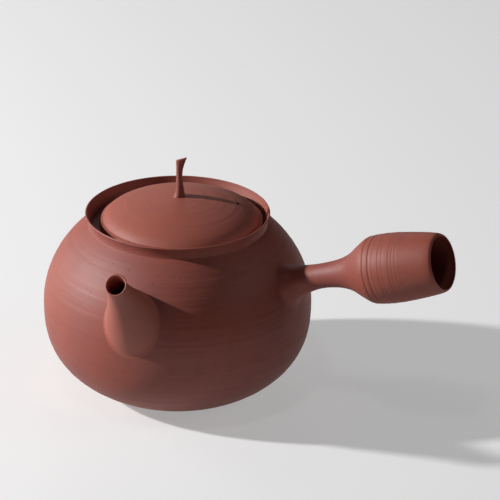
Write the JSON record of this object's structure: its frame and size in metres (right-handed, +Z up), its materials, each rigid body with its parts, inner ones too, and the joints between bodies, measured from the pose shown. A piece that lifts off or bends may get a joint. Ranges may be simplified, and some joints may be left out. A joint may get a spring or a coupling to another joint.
{
  "type": "tea kettle",
  "caption": "Squat thrown clay kettle with a pierced-strainer spout, a hollow flared side handle and a domed lift-off lid sunk in a flared collar, under a small slanted stalk knob.",
  "frame": {"origin": "centre of the flat base's underside, on the surface the kettle stands on", "axes": "+Z up along the pot's axis; the spout points along -Y; the handle leaves to the +X side, 83 degrees from the spout"},
  "size_m": [0.2217, 0.1602, 0.1271],
  "materials": {
    "pot_clay": "unglazed purple-brown clay, matt with a faint sheen, fine throwing rings",
    "spout_clay": "unglazed purple-brown clay, wiped smooth",
    "handle_clay": "unglazed purple-brown clay, matt, turned rings and two fine grooves",
    "lid_clay": "unglazed purple-brown clay, matt and smooth",
    "inner_clay": "unglazed purple-brown clay, matt, inside faces"
  },
  "bodies": {
    "pot": {"kettle_body": "pot_clay", "collar_ring": "pot_clay", "spout": "spout_clay", "spout_strainer": "inner_clay", "handle": "handle_clay"},
    "lid": {"lid": "lid_clay", "lid_flange": "inner_clay", "lid_knob": "lid_clay"}
  },
  "joints": [
    {"name": "lid_lift", "type": "slide", "parent": "pot", "child": "lid", "axis": [0, 0, 1], "range_m": [0, 0.06]}
  ]
}
